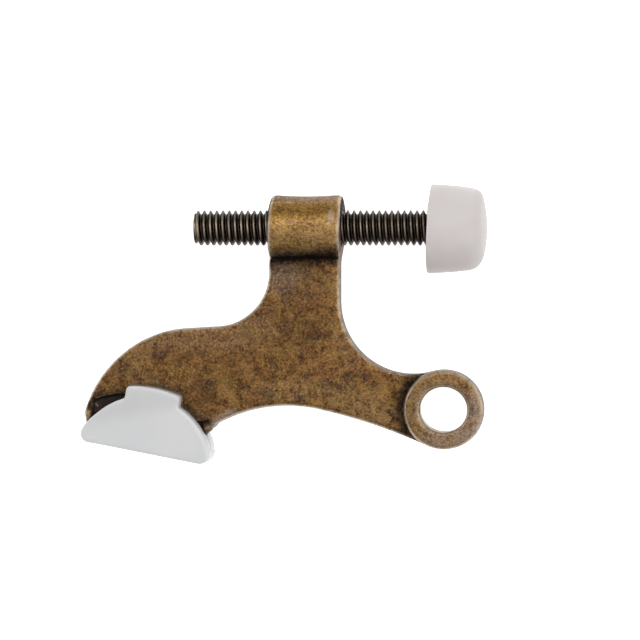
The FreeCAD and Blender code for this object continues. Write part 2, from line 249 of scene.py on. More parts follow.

# How dark the painted shadow, with some patina, is beside the eye, how ashen the eye's face is towards its
# bore, and how strong the dark arc on its left half is, each at distances from the eye's centre
CRESCENT_SHADE = ((8.9, 9.2, 10.2, 11.2, 12.4, 13.8), (0.88, 0.92, 0.78, 0.46, 0.20, 0.0))
BORE_PALE = ((5.0, 5.9, 6.3, 6.9), (0.95, 0.80, 0.35, 0.0))
EYE_ARC = ((6.3, 6.7, 7.1, 7.5), (0.0, 0.75, 0.75, 0.0))


def mm(*lengths):
    """Millimetres as a vector in metres."""
    return Vector(lengths) * MM


def put_in_scene(obj):
    bpy.context.scene.collection.objects.link(obj)
    return obj


def plain_mesh(obj, name):
    """The object with its modifiers worked out, as a new object with none."""
    evaluated = obj.evaluated_get(bpy.context.evaluated_depsgraph_get())
    mesh = bpy.data.meshes.new_from_object(evaluated)
    mesh.name = name
    bpy.data.objects.remove(obj)
    return put_in_scene(bpy.data.objects.new(name, mesh))


def shade_smooth(obj):
    obj.data.polygons.foreach_set("use_smooth", [True] * len(obj.data.polygons))
    obj.data.update()


def dress(obj, finish):
    obj.data.materials.clear()
    obj.data.materials.append(finish)


class Wiring:
    """The nodes of a tree, wired as they are added."""

    def __init__(self, tree):
        self.nodes, self.links = tree.nodes, tree.links

    def feed(self, socket, value):
        """Gives a socket another node's output, or a plain value."""
        if isinstance(value, bpy.types.NodeSocket):
            self.links.new(value, socket)
        else:
            socket.default_value = value

    def add(self, kind, inputs=(), **settings):
        node = self.nodes.new(kind)
        for name, value in settings.items():
            setattr(node, name, value)
        for name, value in dict(inputs).items():
            self.feed(node.inputs[name], value)
        return node

    def calc(self, operation, first, second=0.0, third=0.0, clamp=False):
        inputs = {0: first, 1: second, 2: third}
        return self.add("ShaderNodeMath", inputs, operation=operation, use_clamp=clamp).outputs[0]


# Camera, lights and floor

def set_camera():
    place, aim = mm(*CAMERA_PLACE), mm(*CAMERA_AIM)
    camera = bpy.data.cameras.new("camera")
    camera.sensor_width = SENSOR_WIDTH
    camera.lens = camera.sensor_width * (place - aim).length / (VIEW_WIDTH * MM)
    camera.clip_start = 0.01
    camera.clip_end = 20.0
    obj = put_in_scene(bpy.data.objects.new("camera", camera))
    obj.location = place
    forward = (aim - place).normalized()
    right = forward.cross(Vector((0, 1, 0))).normalized()
    obj.rotation_euler = Matrix((right, right.cross(forward), -forward)).transposed().to_euler()
    bpy.context.scene.camera = obj


def add_softbox(name, place, width, height, power):
    light = bpy.data.lights.new(name, "AREA")
    light.shape = "RECTANGLE"
    light.size = width
    light.size_y = height
    light.energy = power
    obj = put_in_scene(bpy.data.objects.new(name, light))
    obj.location = place
    obj.rotation_euler = (mm(*LIGHT_AIM) - Vector(place)).to_track_quat("-Z", "Y").to_euler()


def set_lights():
    world = bpy.data.worlds.new("studio")
    world.use_nodes = True
    background = world.node_tree.nodes["Background"]
    background.inputs["Color"].default_value = (1.0, 1.0, 1.0, 1.0)
    background.inputs["Strength"].default_value = WORLD_LIGHT
    bpy.context.scene.world = world
    for softbox in SOFTBOXES:
        add_softbox(*softbox)


def add_floor():
    """A pale glowing floor, just under the part."""
    work = bmesh.new()
    bmesh.ops.create_grid(work, x_segments=1, y_segments=1, size=FLOOR_REACH)
    mesh = bpy.data.meshes.new("floor")
    work.to_mesh(mesh)
    work.free()
    mesh.transform(Matrix.Translation((0, 0, cad_box[0][2])))
    floor = put_in_scene(bpy.data.objects.new("floor", mesh))
    paint = Finish("pale floor")
    paint.set("Base Color", rgb(0.93, 0.93, 0.93))
    paint.set("Roughness", 0.7)
    paint.set("Emission Color", rgb(1.0, 1.0, 1.0))
    paint.set("Emission Strength", FLOOR_GLOW)
    dress(floor, paint.material)


# Finishes

class Finish(Wiring):
    """A material's nodes. Sizes of patterns are millimetres in the part's own frame."""

    def __init__(self, name):
        self.material = bpy.data.materials.new(name)
        self.material.use_nodes = True
        super().__init__(self.material.node_tree)
        self.nodes.clear()
        self.shader = self.add("ShaderNodeBsdfPrincipled")
        self.add("ShaderNodeOutputMaterial", {"Surface": self.shader.outputs["BSDF"]})
        self.place = self.add("ShaderNodeTexCoord").outputs["Object"]

    def set(self, name, value):
        self.feed(self.shader.inputs[name], value)

    def noise(self, size, detail=2.0, roughness=0.5, place=None, distortion=0.0):
        return self.add("ShaderNodeTexNoise", {
            "Vector": place or self.place,
            "Scale": 1.0 / (size * MM),
            "Detail": detail,
            "Roughness": roughness,
            "Distortion": distortion,
        }).outputs["Fac"]

    def mapped(self, offset):
        """The place on the part, set over so that patterns differ from each other."""
        inputs = {"Vector": self.place, "Location": mm(*offset)}
        return self.add("ShaderNodeMapping", inputs).outputs["Vector"]

    def between(self, value, low, high, start=0.0, end=1.0):
        """A value's smooth climb, or fall, from start at low to end at high."""
        inputs = {"Value": value, "From Min": low, "From Max": high, "To Min": start, "To Max": end}
        return self.add("ShaderNodeMapRange", inputs, interpolation_type="SMOOTHSTEP").outputs["Result"]

    def blend(self, share, first, second, kind="MIX"):
        inputs = {0: share, 6: first, 7: second}
        return self.add("ShaderNodeMix", inputs, data_type="RGBA", blend_type=kind).outputs[2]

    def surface_value(self, name):
        return self.add("ShaderNodeAttribute", attribute_name=name).outputs["Fac"]

    def broken(self, name, pattern, low, high, start, end):
        """A surface value, broken up by a pattern."""
        share = self.between(pattern, low, high, start, end)
        return self.calc("MULTIPLY", self.surface_value(name), share, clamp=True)

    def axis(self, letter):
        return self.add("ShaderNodeSeparateXYZ", {"Vector": self.place}).outputs[letter]

    def bump(self, height, depth, below=None):
        node = self.add("ShaderNodeBump", {"Height": height, "Distance": depth * MM, "Strength": 1.0})
        if below:
            self.links.new(below, node.inputs["Normal"])
        return node.outputs["Normal"]


def rgb(red, green, blue):
    return (red, green, blue, 1.0)


# Tones of the casting's plating. A pair is its two ends.
GOLD_BROWN = (rgb(0.044, 0.018, 0.005), rgb(0.322, 0.177, 0.057))
RED_BROWN = (rgb(0.044, 0.019, 0.009), rgb(0.292, 0.140, 0.051))
# Lighter brass on the barrel: painted light
LIT_BARREL_BRASS = (rgb(0.465, 0.295, 0.098), rgb(0.485, 0.285, 0.128))
PALE_BRASS = (rgb(0.305, 0.192, 0.080), rgb(0.245, 0.157, 0.084))
LIGHT_BLOTCH = rgb(0.320, 0.186, 0.066)
STAIN_BROWN = rgb(0.046, 0.031, 0.025)
# Grey of worn places, also a painted reflection and a painted highlight
ASH = rgb(0.31, 0.235, 0.19)
# Yellower, darker tone along the barrel: painted shade
GOLDEN_SHADE_CAST = rgb(1.0, 0.93, 0.58)
SPARK_BRASS = rgb(0.52, 0.35, 0.18)
# Dim brown, also painted shade on the barrel
DIM_AND_SHADE_BROWN = rgb(0.050, 0.026, 0.010)
# Painted shade on the walls
WALL_SHADE_BROWN = rgb(0.075, 0.055, 0.042)
# Worn metal on the edges, with painted highlight
RUBBED_AND_HIGHLIT_METAL = rgb(0.47, 0.40, 0.31)
# Pale gold of the ribs, partly painted highlight
GILT_AND_HIGHLIGHT = rgb(0.62, 0.50, 0.29)
# Painted shade, with some patina, in creases and recesses
SHADE_AND_PATINA_BLACK = rgb(0.014, 0.010, 0.008)
# Painted shade on the floor of the foot's recess
RECESS_SHADE_SLATE = rgb(0.033, 0.028, 0.028)

# Tones of the rod's plating, from the thread's root, which has a painted reflection, to its crest, and the
# crests' tone towards the tip
ROOT_SHEEN_AND_BLACK = (rgb(0.048, 0.036, 0.028), rgb(0.005, 0.003, 0.002))
FLANK_BROWN = rgb(0.040, 0.028, 0.019)
CREST_METAL = (rgb(0.235, 0.192, 0.146), rgb(0.355, 0.294, 0.224))
DULL_CREST = rgb(0.08, 0.064, 0.050)

# Tones of the rubbers: the two of each moulding's clouds, its grey specks, its painted shade and its painted
# highlight on rims
COOL_WHITE = (rgb(0.635, 0.635, 0.64), rgb(0.61, 0.615, 0.62))
WARM_WHITE = (rgb(0.60, 0.560, 0.545), rgb(0.585, 0.530, 0.52))
RUBBER_SPECK = rgb(0.38, 0.36, 0.34)
RUBBER_SHADE = rgb(0.20, 0.185, 0.19)
# Painted highlight on the pad's rim
RUBBER_RIM_HIGHLIGHT = rgb(0.84, 0.82, 0.82)


def antique_brass():
    """Mottled antique plating on the casting: dark with painted shade and some patina in the creases, rubbed
    pale with painted highlight along the edges.
    """
    brass = Finish("antique brass")
    clouds = brass.noise(10.0, 2.0, 0.55, brass.mapped((17, 3, 8)))
    hue = brass.noise(1.7, 2.0, 0.6, brass.mapped((2, 31, 12)))
    blotch = brass.noise(4.4, 2.0, 0.55, brass.mapped((40, 11, 5)), 0.4)
    mottle = brass.noise(1.9, 3.0, 0.6, brass.mapped((5, 5, 5)))
    grain = brass.noise(0.62, 2.0, 0.7)
    speck = brass.calc("MULTIPLY_ADD", grain, 0.52, brass.calc("MULTIPLY", mottle, 0.48))

    tone = mottled_ground(brass, clouds, hue, blotch, speck)
    tone = worn_and_lit_faces(brass, tone, hue, grain, speck)
    # Painted shade on the walls
    tone = brass.blend(brass.calc("MULTIPLY", brass.surface_value("wall_shade"), 0.8), tone, WALL_SHADE_BROWN)
    # Worn edges with painted highlight
    tone = brass.blend(brass.broken("edge_wear_and_highlight", speck, 0.32, 0.58, 0.40, 0.95), tone, RUBBED_AND_HIGHLIT_METAL)
    # Ribs in pale gold, partly painted highlight
    tone = brass.blend(brass.broken("gilt_and_highlight", speck, 0.38, 0.60, 0.45, 1.0), tone, GILT_AND_HIGHLIGHT)
    gaps = brass.between(speck, 0.35, 0.65, 0.0, -0.24)
    # Painted shade, with some patina, broken up by the speck
    shade_and_patina = brass.calc("MULTIPLY_ADD", brass.surface_value("shade_and_patina"), 1.14, gaps)
    shade_and_patina = brass.calc("MAXIMUM", shade_and_patina, 0.0, clamp=True)
    tone = brass.blend(shade_and_patina, tone, SHADE_AND_PATINA_BLACK)
    # Painted shade on the floor of the foot's recess
    tone = brass.blend(brass.surface_value("recess_shade"), tone, RECESS_SHADE_SLATE)
    brass.set("Base Color", tone)
    brass.set("Metallic", 1.0)

    dulled = brass.calc("MULTIPLY", shade_and_patina, 0.2)
    rough = brass.calc("ADD", brass.between(speck, 0.35, 0.65, 0.52, 0.42), dulled)
    rough = brass.calc("MULTIPLY_ADD", brass.surface_value("barrel_share"), 0.07, rough)
    brass.set("Roughness", rough)
    coarse = brass.bump(mottle, 0.030)
    brass.set("Normal", brass.bump(grain, 0.014, coarse))
    return brass.material


def mottled_ground(brass, clouds, hue, blotch, speck):
    """The plating's ground: gold and red browns, speckled and blotched, with stains."""
    gold = brass.blend(brass.between(speck, 0.30, 0.70), *GOLD_BROWN)
    red = brass.blend(brass.between(speck, 0.30, 0.70), *RED_BROWN)
    far_red = brass.between(clouds, 0.42, 0.58, 0.0, 0.4)
    warmth = brass.calc("MULTIPLY_ADD", brass.between(hue, 0.36, 0.64), 0.6, far_red)
    tone = brass.blend(warmth, gold, red)
    tone = brass.blend(brass.between(blotch, 0.30, 0.50, 0.42, 0.0), tone, LIGHT_BLOTCH)
    dark_blotch = brass.between(blotch, 0.49, 0.70, 0.0, 0.68)
    stained = brass.calc("MAXIMUM", dark_blotch, brass.surface_value("stain"))
    stained = brass.calc("MULTIPLY", stained, brass.between(speck, 0.35, 0.65, 1.0, 0.5))
    return brass.blend(stained, tone, STAIN_BROWN)


def worn_and_lit_faces(brass, tone, hue, grain, speck):
    """The barrel's brass brightened as painted light, the eye's brighter brass, ashen wear with painted
    reflection, the golden painted shade, fine flecks and dim spots with painted shade.
    """
    # The barrel's lighter brass: painted light
    barrel_light = brass.broken("barrel_share", speck, 0.30, 0.66, 0.20, 0.80)
    tone = brass.blend(barrel_light, tone, brass.blend(brass.between(hue, 0.38, 0.62), *LIT_BARREL_BRASS))
    ring = brass.broken("ring_share", speck, 0.32, 0.64, 0.04, 0.72)
    tone = brass.blend(ring, tone, brass.blend(brass.between(hue, 0.40, 0.62), *PALE_BRASS))
    # Ashen wear, with a painted reflection and a painted highlight
    tone = brass.blend(brass.broken("ashen_and_sheen", grain, 0.35, 0.65, 0.48, 0.98), tone, ASH)
    # Painted shade along the barrel
    tone = brass.blend(brass.surface_value("golden_shade"), tone, GOLDEN_SHADE_CAST, "MULTIPLY")
    fleck = brass.noise(0.30, 1.0, 0.6, brass.mapped((9, 4, 21)))
    tone = brass.blend(1.0, tone, brass.between(fleck, 0.28, 0.72, 0.64, 1.30), "MULTIPLY")
    spark = brass.noise(0.44, 1.0, 0.5, brass.mapped((33, 14, 2)))
    tone = brass.blend(brass.between(spark, 0.60, 0.76, 0.0, 0.34), tone, SPARK_BRASS)
    # Dim spots, with painted shade along the barrel
    return brass.blend(brass.broken("dim_and_shade", speck, 0.35, 0.60, 1.15, 0.80), tone, DIM_AND_SHADE_BROWN)


def dark_brass():
    """Near-black plating on the rod, rubbed light along the thread's crests, least at its right end, with
    painted shade dimming the crests above and below the axis.
    """
    dark = Finish("dark brass")
    grain = dark.noise(0.5, 3.0, 0.65)
    patch = dark.noise(3.5, 2.0, 0.5)
    crest = dark.calc("ADD", dark.surface_value("crest"), dark.between(grain, 0.3, 0.7, -0.09, 0.09))
    # Painted reflection: a faint lighter line along the thread's root
    tone = dark.blend(dark.between(crest, 0.02, 0.20), *ROOT_SHEEN_AND_BLACK)
    tone = dark.blend(dark.between(crest, 0.30, 0.62), tone, FLANK_BROWN)
    light = dark.blend(dark.between(patch, 0.35, 0.65), *CREST_METAL)
    towards_tip = dark.between(dark.axis("X"), -26 * MM, -18 * MM, 0.0, 0.30)
    light = dark.blend(towards_tip, light, DULL_CREST)
    # Painted shade: the crests dim away from the axis's height
    off_axis = dark.calc("ABSOLUTE", dark.calc("SUBTRACT", dark.axis("Y"), (AXIS_HEIGHT + 0.3) * MM))
    facing = dark.between(off_axis, 0.8 * MM, 3.7 * MM, 1.0, 0.05)
    rubbed_and_front_lit = dark.calc("MULTIPLY", dark.between(crest, 0.48, 0.88), facing)
    tone = dark.blend(rubbed_and_front_lit, tone, light)
    dark.set("Base Color", tone)
    dark.set("Metallic", 1.0)
    dark.set("Roughness", dark.between(grain, 0.3, 0.7, 0.33, 0.46))
    dark.set("Normal", dark.bump(grain, 0.012))
    return dark.material


def moulded_rubber(name, tones, offset):
    """Satin moulded rubber, with faint clouding, a fine mould grain, painted shade and a painted highlight on
    rims.
    """
    rubber = Finish(name)
    clouds = rubber.noise(9.0, 2.0, 0.5, rubber.mapped(offset))
    specks = rubber.noise(0.45, 2.0, 0.6)
    tone = rubber.blend(rubber.between(clouds, 0.35, 0.65), *tones)
    tone = rubber.blend(rubber.between(specks, 0.68, 0.80, 0.0, 0.12), tone, RUBBER_SPECK)
    tone = rubber.blend(rubber.surface_value("shade"), tone, RUBBER_SHADE)
    # Painted highlight on rims
    tone = rubber.blend(rubber.surface_value("rim_highlight"), tone, RUBBER_RIM_HIGHLIGHT)
    rubber.set("Base Color", tone)
    rubber.set("Roughness", rubber.between(clouds, 0.3, 0.7, 0.50, 0.58))
    rubber.set("Subsurface Weight", 0.12)
    rubber.set("Subsurface Radius", (1.0, 0.9, 0.8))
    rubber.set("Subsurface Scale", 1.5 * MM)
    rubber.set("Specular IOR Level", 0.35)
    coarse = rubber.bump(clouds, 0.03)
    rubber.set("Normal", rubber.bump(specks, 0.006, coarse))
    return rubber.material


# Skins and the values kept on them

def smooth_step(value, low, high):
    """Share that climbs smoothly from 0 at low to 1 at high."""
    share = np.clip((value - low) / (high - low), 0.0, 1.0)
    return share * share * (3 - 2 * share)


def smooth_fall(value, low, high):
    """Share that falls smoothly from 1 at low to 0 at high."""
    return smooth_step(-value, -high, -low)


def band(value, low, high, fade, end):
    """Share that climbs from low to high and falls again from fade to end."""
    return smooth_step(value, low, high) * (1 - smooth_step(value, fade, end))


def soft_spots(points, spots):
    """Share of each point that lies in soft-edged spots, listed as the marks on the casting are."""
    share = np.zeros(len(points))
    for x, y, length, width, turn, strength in spots:
        cosine, sine = math.cos(math.radians(turn)), math.sin(math.radians(turn))
        right, up = points[:, 0] - x, points[:, 1] - y
        reach = np.hypot((right * cosine + up * sine) / length, (up * cosine - right * sine) / width)
        share = np.maximum(share, strength * smooth_fall(reach, 0.5, 1.3))
    return share


def read_mesh(mesh):
    """A mesh's points in metres, its edges and its vertex normals, as arrays."""
    points = np.empty(len(mesh.vertices) * 3)
    mesh.vertices.foreach_get("co", points)
    edges = np.empty(len(mesh.edges) * 2, dtype=np.int64)
    mesh.edges.foreach_get("vertices", edges)
    normals = np.empty(len(mesh.vertices) * 3)
    mesh.vertices.foreach_get("normal", normals)
    return points.reshape(-1, 3), edges.reshape(-1, 2), normals.reshape(-1, 3)


def move_points(mesh, points):
    """Puts a mesh's points at new places, in millimetres."""
    mesh.vertices.foreach_set("co", (points * MM).ravel())
    mesh.update()


def neighbour_mean(values, edges):
    """Mean of the values at each point's neighbours, for one column of values or several."""
    count = len(values)
    first, second = edges.T
    degree = np.bincount(first, minlength=count) + np.bincount(second, minlength=count)
    means = []
    for column in values.reshape(count, -1).T:
        total = np.bincount(first, column[second], count) + np.bincount(second, column[first], count)
        means.append(total / np.maximum(degree, 1))
    return np.stack(means, axis=1).reshape(values.shape)


def evened_out(values, edges, rounds):
    """Values at a skin's points, drawn halfway to their neighbours' mean in each round."""
    for _ in range(rounds):
        values = 0.5 * values + 0.5 * neighbour_mean(values, edges)
    return values


def keep_value(mesh, name, values):
    """Keeps a share for each point on the mesh, for its finish to read."""
    attribute = mesh.attributes.new(name, "FLOAT", "POINT")
    attribute.data.foreach_set("value", np.clip(values, 0.0, 1.0).astype(np.float32))


def fine_skin(node, name, voxel, rounds, reshape):
    """A fine, softened and reshaped copy of a CAD node's shape, as one closed skin."""
    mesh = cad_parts[node].data.copy()
    work = bmesh.new()
    work.from_mesh(mesh)
    bmesh.ops.remove_doubles(work, verts=work.verts, dist=1e-6)
    work.to_mesh(mesh)
    work.free()
    mesh.materials.clear()
    rough = put_in_scene(bpy.data.objects.new(name, mesh))
    remesh = rough.modifiers.new("skin", "REMESH")
    remesh.mode = "VOXEL"
    remesh.voxel_size = voxel * MM
    remesh.adaptivity = 0.0
    skin = plain_mesh(rough, name)
    points, edges, normals = read_mesh(skin.data)
    move_points(skin.data, reshape(evened_out(points, edges, rounds) / MM, normals))
    shade_smooth(skin)
    return skin


# Cast arm

def shape_arm(points, normals):
    """Fuller walls and hollow, a barrel with leaning ends and a dipped top, and an oval bore."""
    x, y, z = points.T
    on_barrel = smooth_step(y, 33.0, 34.0)
    spare = np.maximum(soft_spots(points, LEAN_WALLS), on_barrel)
    in_hollow = smooth_fall(np.hypot(x - HOLLOW[0], y - HOLLOW[1]), 0.8, 2.0) * smooth_step(y, -5.7, -4.9)
    on_wall = smooth_fall(np.abs(normals[:, 2]), 0.3, 0.6)
    fuller = (WALL_GAIN * (1 - spare) + HOLLOW_GAIN * in_hollow) * on_wall
    moved = points + fuller[:, None] * normals * (1, 1, 0)

    top = smooth_step(y, 43.0, 48.0)
    at_right = on_barrel * smooth_step(x, -27.0, -23.6)
    moved[:, 0] += at_right * (-0.36 + 0.57 * smooth_step(y, 33.5, 42.0) - 0.30 * top - 0.045 * np.abs(z))
    at_left = on_barrel * smooth_step(-x, 35.5, 39.0)
    moved[:, 0] += at_left * (0.12 + 0.35 * top)
    middle = 1 - np.clip(np.abs(x - BARREL_MIDDLE) / BARREL_HALF_LENGTH, 0, 1) ** 2
    moved[:, 1] -= BARREL_DIP * middle * smooth_step(y, 45.5, 47.9)

    in_bore = smooth_fall(np.hypot(x, y), 5.6, 6.6)
    far_rim = smooth_step(-x, 0.0, 5.0) * smooth_fall(z, -3.0, 3.0)
    moved[:, 0] += in_bore * (BORE_STRETCH * x / BORE_RADIUS - FAR_RIM_INSET * far_rim)
    return moved


class ArmSkin:
    """The dressed casting's points, how they face, and shares that say which part of it they lie on."""

    def __init__(self, mesh):
        points, self.edges, normals = read_mesh(mesh)
        self.points = points / MM
        self.x, self.y, self.z = self.points.T
        self.height = np.abs(self.z)
        self.rightwards = normals[:, 0]
        self.sideways = np.abs(normals[:, 0])
        self.facing = np.abs(normals[:, 2])
        self.from_eye = np.hypot(self.x, self.y)

        # Bend: above nought in a hollow, below it on an edge
        pull = neighbour_mean(self.points, self.edges) - self.points
        self.bend = evened_out(np.sum(pull * normals, axis=1), self.edges, 2)

        self.on_face = smooth_step(self.facing, 0.75, 0.95)
        self.on_barrel = smooth_step(self.y, *BARREL_START)
        self.on_eye = smooth_fall(self.from_eye, *EYE_EDGE)
        upright = smooth_fall(self.facing, 0.60, 0.90)
        self.in_bore = self.on_eye * smooth_fall(self.from_eye, 5.5, 5.9) * upright
        self.left_of_eye = smooth_step(-self.x, 2.0, 4.5)

        # How far the barrel's skin is turned to its ends, counted fuller at the left end and most at its top
        self.at_left = smooth_step(-self.x, 31.0, 33.0)
        self.upper = smooth_step(self.y, 40.0, 43.0)
        self.turned = self.sideways * (1 + (0.25 + 0.45 * self.upper) * self.at_left)

        level = self.facing > 0.6
        floor = (self.height < RECESS_FLOOR) & level & ((self.x < PAD_SPAN[0]) | (self.x > PAD_SPAN[1]))
        self.recess = np.clip(2.0 * self.spread(floor, 12), 0, 1)
        self.by_recess = np.clip(5.0 * self.spread(floor, 30), 0, 1)
        low, high = RIB_HEIGHTS
        self.rib = (self.height > low) & (self.height < high) & level & (self.y < RIB_TOP)
        # Points away from the painted highlight across the foot's recess
        self.off_recess_highlight = 1 - self.spots(RECESS_HIGHLIGHT_SPOTS)

    def spread(self, chosen, rounds):
        """The share of chosen points round each point, evened out along the skin."""
        return evened_out(chosen.astype(float), self.edges, rounds)

    def spots(self, marks):
        return soft_spots(self.points, marks)


def worn_and_highlit_edges(skin):
    """Bare metal, worn and partly painted highlight, on the outline's rims, the barrel's rims and the bore,
    and one painted highlight on the barrel.
    """
    rim = band(skin.facing, 0.15, 0.45, 0.86, 0.975) * (1 - skin.on_barrel)
    rim *= 1 - skin.by_recess * smooth_step(skin.height, 1.7, 2.0)
    rim *= smooth_fall(skin.bend, -0.004, 0.002)
    barrel_rim = band(skin.turned, 0.16, 0.42, 0.78, 0.95) * skin.on_barrel
    barrel_highlight = skin.spots(BARREL_HIGHLIGHT_SPOTS) * skin.on_barrel
    return np.maximum.reduce([rim, barrel_rim, barrel_highlight, 0.85 * skin.in_bore])


def shaded_walls(skin):
    """Painted shade on the casting's walls, but not the bore's, and on the barrel's ends."""
    side = smooth_fall(skin.facing, 0.12, 0.40) * (1 - skin.on_barrel) * (1 - skin.in_bore)
    return np.maximum(side, smooth_step(skin.turned, 0.84, 0.97) * skin.on_barrel)


def pale_brass(skin):
    """The eye's raised face and the rubbed places on the arm."""
    return np.maximum(skin.on_eye * smooth_step(skin.height, *EYE_FACE), skin.spots(RUBBED_SPOTS))


def gilt_and_highlit_ribs(skin):
    """The foot's raised ribs in pale gold, polished and partly painted highlight, fainter beside the pad's
    right end.
    """
    fainter = 1 - 0.75 * smooth_step(skin.x, -62.0, -60.0) * smooth_step(skin.y, -4.9, -4.0)
    return 0.75 * skin.spread(skin.rib, 3) * (1 - skin.recess) * fainter


def foot_shade(skin):
    """Painted shade in the recess, painted shadow round it and on its lip, and painted shadow at the pad's
    ends.
    """
    recess = skin.recess * (0.15 + 0.6 * skin.off_recess_highlight)
    shadow = 0.60 * skin.by_recess * skin.off_recess_highlight * (1 - 0.25 * smooth_step(skin.height, 2.5, 2.62))
    lip = 0.70 * skin.by_recess * smooth_step(skin.height, 1.8, 2.0)
    lip *= (1 - smooth_step(skin.facing, 0.90, 0.985)) * (1 - skin.rib)
    spots = skin.spots(PAD_END_SHADOW_SPOTS) * (1 - 0.3 * skin.spread(skin.rib, 2))
    return np.maximum.reduce([recess, shadow, lip, spots])


def barrel_shade(skin):
    """Painted shade in the crease under the barrel, in its tapped hole, and on the upper parts of its ends.
    """
    line = CREASE_PLACE[1] + CREASE_SLOPE * (skin.x - CREASE_PLACE[0])
    crease = np.interp(skin.y - line, *CREASE_SHADE) * (1 - smooth_step(skin.sideways, 0.5, 0.9))
    hole = smooth_fall(np.hypot(skin.y - AXIS_HEIGHT, skin.z), 4.2, 4.6) * skin.on_barrel
    left_end = 0.75 * skin.on_barrel * skin.at_left * skin.upper * smooth_step(skin.turned, 0.95, 1.15)
    right_end = smooth_step(skin.rightwards, 0.80, 0.95) * smooth_step(skin.x, -27.0, -24.5) * skin.on_barrel
    right_end *= 0.92 * smooth_step(skin.y, 38.0, 41.5)
    return np.maximum.reduce([crease, hole, left_end, right_end])


def shade_and_patina(skin):
    """Nearly black: painted shade in the foot's recess and round the barrel, and painted shade with some
    patina beside the eye.
    """
    # Painted shadow, with some patina, beside the eye's raised ring
    crescent = np.interp(skin.from_eye, *CRESCENT_SHADE) * (1 - skin.on_eye)
    crescent *= smooth_step(skin.facing, 0.1, 0.4)
    return np.maximum.reduce([foot_shade(skin), barrel_shade(skin), crescent])


def stains(skin):
    """Dark blots, and the arc on the eye's left half."""
    arc = np.interp(skin.from_eye, *EYE_ARC) * skin.left_of_eye
    return np.maximum(skin.spots(STAINS), arc) * skin.on_face


def ashen_and_sheen(skin):
    """Greyish wear, a painted reflection along the barrel's top and the painted highlight across the foot's
    recess, also round the bore, where the left half has more of it.
    """
    by_bore = np.interp(skin.from_eye, *BORE_PALE) * (0.36 + 0.16 * skin.left_of_eye) * skin.on_face
    spots = skin.spots(ASHEN_WEAR_AND_SHEEN_SPOTS) * np.maximum(skin.on_face, skin.on_barrel)
    return np.maximum.reduce([spots, 1 - skin.off_recess_highlight, by_bore])


def dress_arm():
    arm = fine_skin("arm_casting", "cast_arm", ARM_VOXEL, ARM_SOFTENING, shape_arm)
    skin = ArmSkin(arm.data)
    looks = {
        "edge_wear_and_highlight": worn_and_highlit_edges(skin),
        "wall_shade": shaded_walls(skin),
        "barrel_share": skin.on_barrel,
        "ring_share": pale_brass(skin),
        "gilt_and_highlight": gilt_and_highlit_ribs(skin),
        "recess_shade": 0.88 * skin.recess * skin.off_recess_highlight,
        "shade_and_patina": shade_and_patina(skin),
        "golden_shade": skin.spots(GOLDEN_SHADE_SPOTS) * skin.on_barrel,
        "stain": stains(skin),
        "ashen_and_sheen": ashen_and_sheen(skin),
        "dim_and_shade": skin.spots(DIM_AND_SHADE_SPOTS) * np.maximum(skin.on_face, skin.on_barrel),
    }
    for name, share in looks.items():
        keep_value(arm.data, name, share)
    dress(arm, antique_brass())
    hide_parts("arm_casting")
    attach(arm, "stop_body")


# Rubber pad

def shape_pad(points, _):
    """The far cheek is fuller at the right, the near one slimmer at the left; the slot's right end closes."""
    x, y, z = points.T
    cosine, sine = PAD_TURN
    along, up = cosine * x - sine * y + PAD_MIDDLE[0], sine * x + cosine * y + PAD_MIDDLE[1]
    from_arc = np.hypot(along - PAD_ARC_CENTRE[0], up - PAD_ARC_CENTRE[1])
    at_end = smooth_step(from_arc, 14.5, 14.9) * smooth_step(along, 11.8, 12.6)
    closed = at_end * (1 - smooth_step(up, 6.3, 7.3)) * smooth_fall(np.abs(z), 1.9, 2.5)
    far_right = smooth_fall(z, -3.5, -1.0) * smooth_step(x, -57.0, -52.5) * smooth_step(y, -10.5, -8.0)
    near_left = smooth_step(z, 0.5, 3.0) * smooth_step(-x, 77.0, 80.8)
    moved = points.copy()
    moved[:, 0] += FAR_CHEEK_GAIN[0] * far_right - NEAR_CHEEK_LOSS * near_left
    moved[:, 1] += FAR_CHEEK_GAIN[1] * far_right
    moved[:, 2] -= closed * (z - CLOSED_SLOT * np.sign(z))
    return moved


def dress_pad():
    """The pad's upper part has a little painted shade, and its upper near rim a little painted highlight."""
    pad = fine_skin("bumper_pad", "rubber_pad", PAD_VOXEL, PAD_SOFTENING, shape_pad)
    points, _, normals = read_mesh(pad.data)
    x, y, _ = points.T / MM
    # Painted shade on the pad's upper part
    keep_value(pad.data, "shade", 0.16 * smooth_step(y - 0.18 * (x + 66), -3.0, 1.5))
    # Painted highlight on the upper near rim
    turned_up = smooth_step(0.8 * normals[:, 1] + 0.6 * normals[:, 0], 0.08, 0.50)
    keep_value(pad.data, "rim_highlight", 0.30 * turned_up * smooth_step(normals[:, 2], 0.10, 0.40))
    dress(pad, moulded_rubber("cool white rubber", COOL_WHITE, (3, 9, 4)))
    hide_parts("bumper_pad")
    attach(pad, "stop_body")


# Threaded rod, by Geometry Nodes

